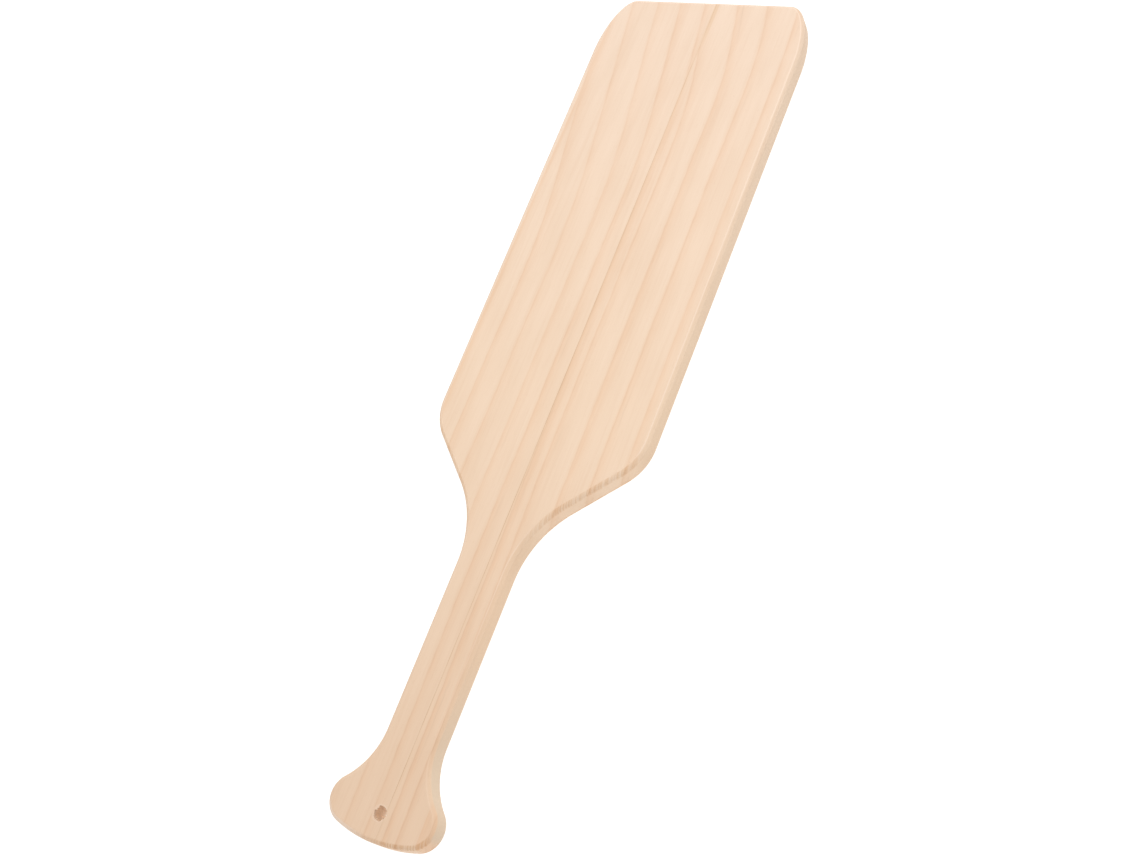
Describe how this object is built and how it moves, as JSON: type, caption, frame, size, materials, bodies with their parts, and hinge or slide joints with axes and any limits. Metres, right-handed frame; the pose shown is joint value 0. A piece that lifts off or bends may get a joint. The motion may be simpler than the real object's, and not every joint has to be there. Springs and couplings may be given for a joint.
{
  "type": "flat wooden paddle",
  "caption": "Flat wooden paddle with a long straight blade, sloping shoulders, a one-hand handle and a flared, drilled butt.",
  "frame": {"origin": "on the back face, under the middle of the outline's length and width", "axes": "+Y along the paddle from the butt to the tip of the blade, +Z out of the front face, +X to the right as seen from the front with the blade up"},
  "size_m": [0.1314, 0.508, 0.0125],
  "materials": {
    "left_wood": "bare sanded wood",
    "right_wood": "bare sanded wood",
    "dried_glue": "dried wood glue"
  },
  "bodies": {
    "root": {"left_board": "left_wood", "right_board": "right_wood", "glue_film_long": "dried_glue", "glue_film_butt": "dried_glue"}
  },
  "joints": []
}
